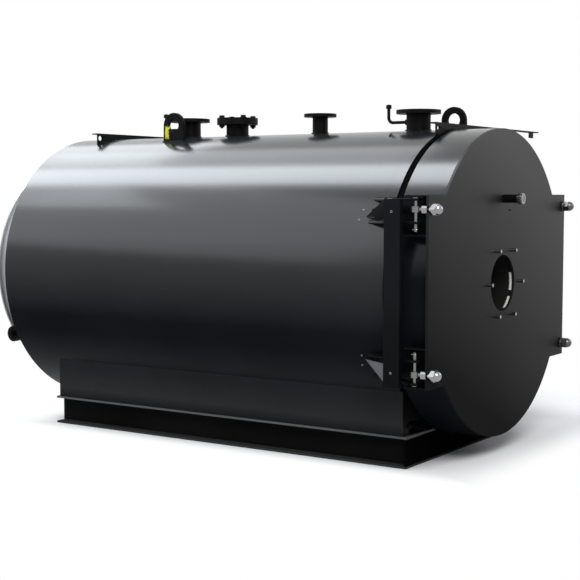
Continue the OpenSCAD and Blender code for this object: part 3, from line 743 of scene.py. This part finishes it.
ring = ring_of_places(FLANGE_BOLT_R, FLANGE_BOLTS, flange_face, math.radians(9))
ring += ring_of_places(COVER_BOLT_R, COVER_BOLTS, lid_rear)
finish_piece(copies(m12_head, ring), "smoke_box_bolts", rear_paint, "boiler")

# %% [markdown]
# ## Weld beads
#
# Where a pipe or a plate stands on the casing, a welder has run a bead round it. A bead is drawn here
# as a curve with a round section whose radius swells and shrinks a little from point to point, which
# gives the ripples, and is then made a mesh. The points follow the casing, so each bead lies in its
# corner.

# %% Weld tools
BEAD_STEP, BEAD_GAP = 0.006, 0.001
WELD_CREASE = 60


def on_casing(x):
    """The height of the casing's upper surface at a distance x from its middle plane."""
    return axis_z + math.sqrt(casing_r ** 2 - x ** 2)


def bead(points, radius, closed=False):
    curve = bpy.data.curves.new("bead", "CURVE")
    curve.dimensions = "3D"
    curve.bevel_depth = radius
    curve.bevel_resolution = 1
    spline = curve.splines.new("POLY")
    spline.points.add(len(points) - 1)
    spline.use_cyclic_u = closed
    for i, point in enumerate(points):
        spline.points[i].co = (*point, 1)
        spline.points[i].radius = 1.0 if i % 2 else 0.82
    curve.use_fill_caps = not closed
    run = bpy.data.objects.new("bead", curve)
    bpy.context.scene.collection.objects.link(run)
    select([run])
    bpy.ops.object.convert(target="MESH")
    return bpy.context.object


def straight(start, end):
    """Points along a line, one for each ripple."""
    start, end = Vector(start), Vector(end)
    count = max(2, round((end - start).length / BEAD_STEP))
    return [start.lerp(end, i / count) for i in range(count + 1)]


def hoop(radius, y, z, x=0.0, count=None):
    """Points round a circle that stands upright across the boiler."""
    count = count or 2 * round(math.pi * radius / BEAD_STEP)
    turns = [2 * math.pi * i / count for i in range(count)]
    return [(x + radius * math.cos(a), y, z + radius * math.sin(a)) for a in turns]


print("bead ripples every", BEAD_STEP, "m")

# %% [markdown]
# A pipe has two beads: one round its foot, which dips on both sides with the round casing, and a
# smaller one under its flange. Seen from above both follow the same circle, so the second one is the
# first made level.

# %% Pipe welds
PIPE_RADII = {"flow_nozzle": 0.05715, "safety_nozzle": 0.03805,
              "cover_nozzle": 0.05715, "return_nozzle": 0.05715}
FOOT_BEAD, NECK_BEAD = 0.0055, 0.0035

runs = []
for name, pipe_r in PIPE_RADII.items():
    low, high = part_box(name)
    pipe_y = (low.y + high.y) / 2
    count = 2 * round(math.pi * pipe_r / BEAD_STEP)
    weld_r = pipe_r + 2 * BEAD_GAP
    saddle = []
    for i in range(count):
        angle = 2 * math.pi * i / count
        x = weld_r * math.cos(angle)
        saddle.append((x, pipe_y + weld_r * math.sin(angle), on_casing(x) + BEAD_GAP))
    runs.append(bead(saddle, FOOT_BEAD, True))
    under = high.z - (SMALL_FLANGE_T if name == "safety_nozzle" else FLANGE_T)
    neck = [(x, y, under) for x, y, z in saddle]
    runs.append(bead(neck, NECK_BEAD, True))
finish_piece(join(runs), "pipe_welds", black_paint, "boiler", WELD_CREASE)

# %% [markdown]
# A lifting lug carries the whole boiler, so it is welded all round. The bars across the top carry
# little, and a few short stitches hold each of them. The stitches end where the bar leaves the round
# casing.

# %% Lifting lug and bar welds
BAR_STITCH, BAR_PITCH = 0.06, 0.15
LUG_BEAD, BAR_BEAD = 0.006, 0.004

runs = []
for name in ["lifting_lug_front", "lifting_lug_rear"]:
    low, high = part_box(name)
    for x in [low.x - BEAD_GAP, high.x + BEAD_GAP]:
        side = straight((x, low.y, on_casing(x)), (x, high.y, on_casing(x)))
        runs.append(bead(side, LUG_BEAD))
    for y in [low.y - BEAD_GAP, high.y + BEAD_GAP]:
        edge = straight((low.x, y, on_casing(low.x)), (high.x, y, on_casing(high.x)))
        runs.append(bead(edge, LUG_BEAD))
for name in ["top_bar_front", "top_bar_rear"]:
    low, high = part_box(name)
    x = low.x + 0.01
    while on_casing(x + BAR_STITCH) > low.z:
        places = [x + BAR_STITCH * i / 10 for i in range(11)]
        stitch = [(place, low.y - BEAD_GAP, on_casing(place)) for place in places]
        runs.append(bead(stitch, BAR_BEAD))
        x += BAR_PITCH
finish_piece(join(runs), "lug_and_bar_welds", black_paint, "boiler", WELD_CREASE)

# %% [markdown]
# The hinge lugs are level plates that stand on the casing's sides, in pairs above and below the axis.
# Each has a bead along its upper and its lower face, where the plate meets the casing.

# %% Hinge lug welds
LUG_FACES = [0.377, 0.387, 0.281, 0.291]
LUG_WELD_START, LUG_WELD_END = 0.002, 0.106

runs = []
for side in [-1, 1]:
    for end in [-1, 1]:
        for face in LUG_FACES:
            x = side * math.sqrt(casing_r ** 2 - face ** 2)
            z = axis_z + end * face
            line = straight((x, casing_front + LUG_WELD_START, z), (x, casing_front + LUG_WELD_END, z))
            runs.append(bead(line, 0.0045))
finish_piece(join(runs), "hinge_lug_welds", black_paint, "boiler", WELD_CREASE)

# %% [markdown]
# Behind the door, each smoke tube is welded into the tube plate, and the furnace's mouth has a heavier
# weld. They show only when the door stands open. At the other end the flue spigot is welded to the
# smoke box's cover.

# %% Tube end welds
TUBE_RING_R, TUBE_COUNT, TUBE_R = 0.500, 24, 0.038
FURNACE_R = 0.330
FLUE_WELD_R = 0.152

plate_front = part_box("front_tube_plate")[0].y
runs = []
for i in range(TUBE_COUNT):
    angle = 2 * math.pi * (i + 0.5) / TUBE_COUNT
    x = TUBE_RING_R * math.cos(angle)
    z = axis_z + TUBE_RING_R * math.sin(angle)
    runs.append(bead(hoop(TUBE_R + BEAD_GAP, plate_front, z, x, 40), 0.0025, True))
runs.append(bead(hoop(FURNACE_R - 2 * BEAD_GAP, plate_front, axis_z), 0.005, True))
finish_piece(join(runs), "tube_end_welds", boiler_steel, "boiler", WELD_CREASE)
flue_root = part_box("flue_spigot")[0].y + 0.008
flue_run = bead(hoop(FLUE_WELD_R, flue_root, axis_z), 0.0045, True)
finish_piece(flue_run, "flue_weld", rear_paint, "boiler", WELD_CREASE)

# %% [markdown]
# ## Screws
#
# The panel post and its arms are held by bright pan-head screws. A pan head is a disc with a well
# rounded rim and a socket, which is the top face inset and pushed down.

# %% Screw pattern
def pan_screw(radius, height):
    head = round_disc(radius, height, height * 0.6, 24)
    pick_faces(head, lambda middle, normal: normal.z > 0.99 and middle.z > height * 0.9)
    bpy.ops.mesh.inset(thickness=radius * 0.12, depth=0)
    bpy.ops.mesh.inset(thickness=radius * 0.02, depth=-height * 0.55)
    bpy.ops.object.mode_set(mode="OBJECT")
    return head


def half_width(z):
    """How far the casing reaches to the side at a height."""
    return math.sqrt(casing_r ** 2 - (z - axis_z) ** 2)


def out_of_casing(point):
    """The direction straight out of the round casing at a point on it."""
    return (point[0], 0, point[2] - axis_z)


screw = pan_screw(0.0062, 0.0035)
print("pattern:", screw.name)

# %% [markdown]
# The post has one screw at each end, the arms two each where they meet the casing, and there is one
# screw on the crown and one on the door. Two hexagon bolts hold the front saddle. On the round casing a
# screw points straight out of it, so its direction is found from its place.

# %% Screws
POST_SCREW_Y, POST_SCREW_HEIGHTS, POST_RECESS = -1.067, (1.120, 0.448), 0.0032
ARM_SCREWS = [(-0.860, 1.124), (-0.851, 1.081), (-0.866, 0.497), (-0.856, 0.452)]
CROWN_SCREW_X, CROWN_SCREW_Y = -0.2028, -0.758
DOOR_SCREW_X, DOOR_SCREW_Z = 0.069, 1.119
SADDLE_BOLT_X, SADDLE_BOLT_Z = 0.483, 0.1785

post_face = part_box("panel_post")[0].x + POST_RECESS
post_places = [stand((post_face, POST_SCREW_Y, z), (-1, 0, 0)) for z in POST_SCREW_HEIGHTS]
finish_piece(copies(screw, post_places), "post_screws", bright_steel, "boiler")
arm_places = []
for y, z in ARM_SCREWS:
    point = (-half_width(z), y, z)
    arm_places.append(stand(point, out_of_casing(point), 0, 0.75))
finish_piece(copies(screw, arm_places), "arm_screws", bolt_steel, "boiler")
crown_point = (CROWN_SCREW_X, CROWN_SCREW_Y, on_casing(CROWN_SCREW_X))
crown_places = [stand(crown_point, out_of_casing(crown_point))]
finish_piece(copies(screw, crown_places), "crown_screw", black_paint, "boiler")
door_places = [stand((DOOR_SCREW_X, door_front, DOOR_SCREW_Z), (0, -1, 0), 0, 0.8)]
finish_piece(copies(screw, door_places), "door_screw", black_paint, "door")
saddle_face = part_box("saddle_front")[0].y
saddle_places = [stand((side * SADDLE_BOLT_X, saddle_face, SADDLE_BOLT_Z), (0, -1, 0)) for side in (-1, 1)]
finish_piece(copies(m12_head, saddle_places), "saddle_bolts", black_paint, "boiler")

# %% [markdown]
# ## The door's small parts
#
# The swing bolts' nuts are backed off a little, and each has a thick loose washer behind it, which
# swings out with its bolt. It is a short tube with rounded rims. A cylinder without ends is the
# quickest start: a solidify modifier gives it its wall, and a bevel modifier rounds its rims.

# %% Swing washers
WASHER_R, WASHER_BORE, WASHER_T = 0.026, 0.0105, 0.007


def ring_washer(radius, bore, height, sides=40, rounding=0.0012):
    bpy.ops.mesh.primitive_cylinder_add(vertices=sides, radius=radius, depth=height,
                                        end_fill_type="NOTHING", location=(0, 0, height / 2))
    tube = bpy.context.object
    bpy.ops.object.transform_apply(location=True, rotation=True, scale=True)
    wall = tube.modifiers.new("wall", "SOLIDIFY")
    wall.thickness = radius - bore
    wall.offset = -1
    rim = tube.modifiers.new("rim", "BEVEL")
    rim.width = rounding
    rim.segments = 2
    rim.limit_method = "ANGLE"
    bpy.ops.object.modifier_apply(modifier="wall")
    bpy.ops.object.modifier_apply(modifier="rim")
    return tube


washer = ring_washer(WASHER_R, WASHER_BORE, WASHER_T)
for end in ["upper", "lower"]:
    low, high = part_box("swing_nut_" + end)
    seat = Vector(((low.x + high.x) / 2, high.y, (low.z + high.z) / 2))
    piece = copies(washer, [stand(seat, (0, 1, 0))])
    finish_piece(piece, "swing_washer_" + end, dull_steel, "swing_bolt_" + end + "_right")
put_away(washer)

# %% [markdown]
# The sheet edges on both sides of the door's gap are covered with a black rubber trim, so that nobody
# is cut when the door stands open. It is the washer's shape again, as wide as the casing and very thin.

# %% Edge trims
TRIM_T = 0.0015
CASING_TRIM, DRUM_TRIM = 0.004, 0.006

drum_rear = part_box("door_drum")[1].y
for name, body, y, width in [("casing_edge_trim", "boiler", casing_front, CASING_TRIM),
                             ("drum_edge_trim", "door", drum_rear - DRUM_TRIM, DRUM_TRIM)]:
    trim = ring_washer(casing_r + TRIM_T, casing_r - TRIM_T / 3, width, 192, 0.0005)
    trim.data.transform(stand((0, y, axis_z), (0, 1, 0)))
    finish_piece(trim, name, edge_rubber, body)

# %% [markdown]
# Each arm of the panel post is stiffened by a web, a plate with three corners that runs from the post
# back to the casing. The lower one is a lighter grey than the black upper one, as painted light where
# light falls on it from below. A circle with three points is the quickest such plate: its corners are
# put in place, and a solidify modifier gives it a thickness.

# %% Arm webs
WEB_FRONT_X, WEB_FRONT_Y, WEB_ROOT_Y = -0.7215, -1.031, -0.882
WEB_LOW, WEB_HIGH, WEB_ROOT = 0.307, 0.392, 0.307
WEB_T = 0.004


def arm_web(name, end, finish):
    root_z = axis_z + end * WEB_ROOT
    corners = [(WEB_FRONT_X, WEB_FRONT_Y, axis_z + end * WEB_LOW),
               (WEB_FRONT_X, WEB_FRONT_Y, axis_z + end * WEB_HIGH),
               (-half_width(root_z) - WEB_T / 2, WEB_ROOT_Y, root_z)]
    bpy.ops.mesh.primitive_circle_add(vertices=3, radius=0.1, fill_type="NGON")
    plate = bpy.context.object
    for vertex, corner in zip(plate.data.vertices, corners):
        vertex.co = corner
    thickness = plate.modifiers.new("thickness", "SOLIDIFY")
    thickness.thickness = WEB_T
    thickness.offset = 0
    rim = plate.modifiers.new("rim", "BEVEL")
    rim.width = 0.0012
    rim.segments = 2
    bpy.ops.object.modifier_apply(modifier="thickness")
    bpy.ops.object.modifier_apply(modifier="rim")
    pick_faces(plate, every_face)
    bpy.ops.mesh.normals_make_consistent(inside=False)
    bpy.ops.object.mode_set(mode="OBJECT")
    return finish_piece(plate, name, finish, "boiler")


arm_web("arm_web_upper", 1, black_paint)
arm_web("arm_web_lower", -1, lit_web_grey)

# %% [markdown]
# A spring ring round the inner end of each hinge pin keeps it from sliding out. It is a torus, and a
# few of its faces are pulled outwards to make the small loop that pliers grip.

# %% Pin rings
PIN_R, PIN_Y, PIN_X = 0.009, door_front + 0.071, 0.709
TAIL_Z = 0.258
RING_WIRE = 0.0018

bpy.ops.mesh.primitive_torus_add(major_radius=PIN_R + 0.001, minor_radius=RING_WIRE,
                                 major_segments=32, minor_segments=10)
pin_ring = bpy.context.object
pick_faces(pin_ring, lambda middle, normal: middle.y > PIN_R * 0.8 and abs(middle.x) < 0.003)
bpy.ops.transform.translate(value=(0, 0.004, 0))
bpy.ops.object.mode_set(mode="OBJECT")
tails = []
for side in [-1, 1]:
    for end in [-1, 1]:
        tail = (side * PIN_X, PIN_Y, axis_z + end * TAIL_Z)
        tails.append(stand(tail, (0, 0, 1), math.radians(160 * side)))
finish_piece(copies(pin_ring, tails), "pin_rings", bright_steel, "boiler")
put_away(pin_ring)

# %% [markdown]
# The sight glass is a thick lens held in the bright cap, and the cap's rim is gripped by a row of
# ridges, so that it can be unscrewed with a gloved hand. One ridge is a thin rod with a rounded end,
# copied round the cap.

# %% Sight glass
RIDGES, RIDGE_FOOT = 20, 0.020
LENS_R, LENS_SEAT = 0.0138, 0.005

lens_glass, tree, shader, coordinates = new_finish("sight_lens")
shader.inputs["Base Color"].default_value = (0.02, 0.035, 0.04, 1)
wire(tree, spread(tree, noise(tree, coordinates, 80.0), 0.02, 0.06), shader.inputs["Roughness"])
shader.inputs["Coat Weight"].default_value = 1

cap_low, cap_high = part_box("sight_cap")
cap_middle = (cap_low + cap_high) / 2
cap_r = (cap_high.x - cap_low.x) / 2
lens = round_disc(LENS_R, 0.0045, 0.0026, 40)
lens.data.transform(stand((cap_middle.x, cap_low.y + LENS_SEAT, cap_middle.z), (0, -1, 0)))
finish_piece(lens, "sight_lens", lens_glass, "door")
ridge = round_disc(0.0016, 0.016, 0.0012, 10)
grips = []
for i in range(RIDGES):
    angle = 2 * math.pi * i / RIDGES
    x = cap_middle.x + cap_r * math.cos(angle)
    z = cap_middle.z + cap_r * math.sin(angle)
    grips.append(stand((x, cap_low.y + RIDGE_FOOT, z), (0, -1, 0)))
finish_piece(copies(ridge, grips), "sight_cap_grip", bright_steel, "door")
put_away(ridge)

# %% [markdown]
# Inside the burner opening four pale strips of ceramic fibre pack the step between the steel plate and
# the refractory. Their pale colour is a painted highlight, where light catches the throat's inner wall,
# and the breaks between them are painted shadow. A strip is a bead along an arc, stretched in depth until
# it fills the step.

# %% Throat packing
PACKED_ARCS = [(-18, 17), (-61, -31), (163, 198), (211, 241)]
PACKING_R, PACKING_HALF, PACKING_STRETCH = 0.1375, 0.0045, 2.4
ARC_Y, PACKING_Y = door_front + 0.017, door_front + 0.020

highlight_fibre, tree, shader, coordinates = new_finish("fibre_highlight")
strands = spread(tree, noise(tree, coordinates, 260.0, 6.0, 0.7), 0, 1)
pale = blend_colours(tree, strands, (0.50, 0.49, 0.46), (0.72, 0.71, 0.68))
wire(tree, pale, shader.inputs["Base Color"])
shader.inputs["Roughness"].default_value = 0.95
ripple(tree, shader, coordinates, 300.0, 0.0008, 6.0)

strips = []
for start, end in PACKED_ARCS:
    turns = [math.radians(start + (end - start) * i / 12) for i in range(13)]
    arc = [(PACKING_R * math.cos(a), ARC_Y, axis_z + PACKING_R * math.sin(a)) for a in turns]
    strip = bead(arc, PACKING_HALF)
    depth = Matrix.Translation((0, PACKING_Y, 0)) @ Matrix.Diagonal((1, PACKING_STRETCH, 1, 1))
    strip.data.transform(depth @ Matrix.Translation((0, -ARC_Y, 0)))
    strips.append(strip)
finish_piece(join(strips), "throat_packing_highlight", highlight_fibre, "door")

# %% [markdown]
# The door's edge seals on a thick rope, black with graphite, which shows as the dark gap between door
# and casing. The rope is a torus. Its ribs are made by pushing in every other pair of its rings of
# faces, and noise roughens it.

# %% Rope seal
ROPE_R, ROPE_HALF, ROPE_DEPTH = 0.665, 0.022, 0.219
ROPE_STEPS, RIB_DEPTH = 160, 0.0018

graphite, tree, shader, coordinates = new_finish("graphite_rope")
weave = spread(tree, noise(tree, coordinates, 180.0, 4.0), 0, 1)
soft_black = blend_colours(tree, weave, (0.002, 0.002, 0.002), (0.010, 0.010, 0.011))
wire(tree, soft_black, shader.inputs["Base Color"])
shader.inputs["Roughness"].default_value = 0.7
shader.inputs["Specular IOR Level"].default_value = 0.05
ripple(tree, shader, coordinates, 150.0, 0.0015, 3.0)


def rope_step(middle):
    """The number of the ring of faces that a point on the rope lies in."""
    return round(math.atan2(middle.y, middle.x) / math.tau * ROPE_STEPS - 0.5)


bpy.ops.mesh.primitive_torus_add(major_radius=ROPE_R, minor_radius=ROPE_HALF,
                                 major_segments=ROPE_STEPS, minor_segments=16)
rope = bpy.context.object
pick_faces(rope, lambda middle, normal: rope_step(middle) % 4 < 2)
bpy.ops.transform.shrink_fatten(value=-RIB_DEPTH)
bpy.ops.object.mode_set(mode="OBJECT")
rope.data.transform(stand((0, door_front + ROPE_DEPTH, axis_z), (0, 1, 0)))
finish_piece(rope, "door_rope_seal", graphite, "door")

# %% [markdown]
# The refractory is held by steel anchors, whose ends are covered with small domes of the same clay. A
# dome is a ball flattened to a button.

# %% Lining anchors
DOME_R, DOME_FLATNESS = 0.024, 0.45
DOME_RINGS = [(0.34, 8), (0.54, 14)]

lining_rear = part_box("door_lining")[1].y
bpy.ops.mesh.primitive_uv_sphere_add(segments=24, ring_count=12, radius=DOME_R)
dome = bpy.context.object
pick_faces(dome, every_face)
bpy.ops.mesh.bisect(plane_co=(0, 0, 0), plane_no=(0, 0, 1), clear_inner=True, use_fill=True)
bpy.ops.mesh.select_all(action="SELECT")
bpy.ops.transform.resize(value=(1, 1, DOME_FLATNESS))
bpy.ops.object.mode_set(mode="OBJECT")
buttons = []
for radius, count in DOME_RINGS:
    buttons += ring_of_places(radius, count, lining_rear - 0.0005, math.radians(12))
finish_piece(copies(dome, buttons), "lining_anchors", refractory, "door")
put_away(dome)

# %% [markdown]
# ## Fittings on top and behind
#
# Each bent gauge pipe ends in a six-sided union with an open mouth, and starts in a forged boss on the
# nozzle.

# %% Gauge pipe unions
def open_union(flats, height, bore):
    block = hex_block(flats, height, 0.0, 0.002)
    pick_faces(block, lambda middle, normal: normal.z > 0.99 and middle.z > height * 0.9)
    bpy.ops.mesh.inset(thickness=flats / 2 - bore, depth=0)
    bpy.ops.mesh.inset(thickness=0.0008, depth=-height * 0.7)
    bpy.ops.object.mode_set(mode="OBJECT")
    return block


union = open_union(0.026, 0.018, 0.007)
boss = round_disc(0.014, 0.016, 0.004, 28)
fittings = []
for name in ["gauge_pipe_front", "gauge_pipe_rear"]:
    low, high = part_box(name)
    x = (low.x + high.x) / 2
    top = (x, high.y - 0.0075, high.z - 0.020)
    root = (x, low.y - 0.004, low.z + 0.0075)
    fittings.append(copies(union, [stand(top, (0, 0, 1))]))
    fittings.append(copies(boss, [stand(root, (0, 1, 0))]))
finish_piece(join(fittings), "gauge_pipe_unions", black_paint, "boiler")
put_away(union)
put_away(boss)

# %% [markdown]
# The drain pipe at the rear left is shut by a plug with a square head, for a spanner. A bevelled cube
# is enough.

# %% Drain plug
PLUG_SIZE, PLUG_EDGE, PLUG_OUT = 0.028, 0.003, 0.012
PLUG_TURN = math.radians(20)

drain_low, drain_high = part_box("drain_pipe")
drain_middle = (drain_low + drain_high) / 2
bpy.ops.mesh.primitive_cube_add(size=PLUG_SIZE)
plug = bpy.context.object
pick_faces(plug, every_face)
bpy.ops.mesh.bevel(offset=PLUG_EDGE, segments=2, affect="EDGES")
bpy.ops.object.mode_set(mode="OBJECT")
plug_place = (drain_low.x - PLUG_OUT, drain_middle.y, drain_middle.z)
plug.data.transform(stand(plug_place, (-1, 0, 0), PLUG_TURN))
finish_piece(plug, "drain_plug", black_paint, "boiler")

for pattern in [m16_head, m16_nut, m12_head, screw]:
    put_away(pattern)
